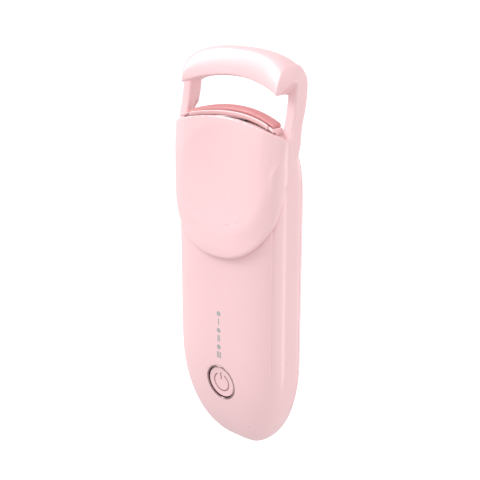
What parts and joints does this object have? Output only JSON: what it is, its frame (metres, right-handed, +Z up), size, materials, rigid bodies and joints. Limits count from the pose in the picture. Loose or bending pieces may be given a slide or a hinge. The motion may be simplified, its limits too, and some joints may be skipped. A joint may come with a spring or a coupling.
{
  "type": "eyelash curler",
  "caption": "Slim battery-heated eyelash curler: rounded handle, sliding visor-and-shield clamp frame over a curved silicone pad, round power button with ring.",
  "frame": {"origin": "centre of the bounding box bottom, below the middle of the handle's lower tip", "axes": "+Z up along the handle to the visor, -Y to the front (shield, button, the side held to the eye), +X to the right as its front is seen"},
  "size_m": [0.0378, 0.0174, 0.1058],
  "materials": {
    "shell": "satin moulded soft pink ABS",
    "head_plastic": "satin heat-resistant pink plastic",
    "guard_strip": "glossy pale pink strip",
    "silicone": "rose silicone rubber",
    "counter_pad": "pale silicone rubber",
    "ring": "fine rose metallic trim ring",
    "plunger": "soft translucent silicone post",
    "aluminium": "pressed aluminium",
    "steel": "bright drawn steel",
    "heater": "fired ceramic heater",
    "inner_plastic": "natural glass-filled plastic",
    "black_plastic": "black engineering plastic",
    "led": "clear epoxy lens",
    "battery_foil": "silver pouch foil",
    "foam": "closed-cell foam",
    "circuit_board": "green solder mask",
    "lead_black": "black lead insulation",
    "lead_red": "red lead insulation",
    "lead_white": "heat-resistant sleeving"
  },
  "bodies": {
    "handle": {"front_housing": "shell", "rear_housing": "shell", "silicone_pad": "silicone", "lash_guard_strip": "guard_strip", "heat_plate": "aluminium", "heater_carrier": "head_plastic", "heater_element": "heater", "thermistor": "black_plastic", "inner_chassis": "inner_plastic", "button_ring": "ring", "tact_switch": "black_plastic", "status_led": "led", "battery_cell": "battery_foil", "battery_foam": "foam", "main_board": "circuit_board", "usb_port": "steel", "usb_tongue": "black_plastic", "chassis_screw_left": "steel", "guide_rod_left": "steel", "return_spring_left": "steel", "battery_lead_left": "lead_black", "heater_lead_left": "lead_white", "chassis_screw_right": "steel", "guide_rod_right": "steel", "return_spring_right": "steel", "battery_lead_right": "lead_red", "heater_lead_right": "lead_white"},
    "clamp": {"clamp_frame": "shell", "counter_pad": "counter_pad", "slider_yoke": "inner_plastic", "yoke_screw_left": "steel", "yoke_screw_right": "steel"},
    "button": {"button_cap": "shell", "button_plunger": "plunger"}
  },
  "joints": [
    {"name": "clamp_slide", "type": "slide", "parent": "handle", "child": "clamp", "axis": [0, 0, -1], "range_m": [0, 0.0068], "stiffness_N_per_m": 300, "springref_m": -0.0005, "deforming": ["return_spring_left", "return_spring_right"]},
    {"name": "power_button", "type": "slide", "parent": "handle", "child": "button", "axis": [0, 0.993, 0.1184], "range_m": [0, 0.0004], "stiffness_N_per_m": 1500, "springref_m": -0.00003}
  ]
}
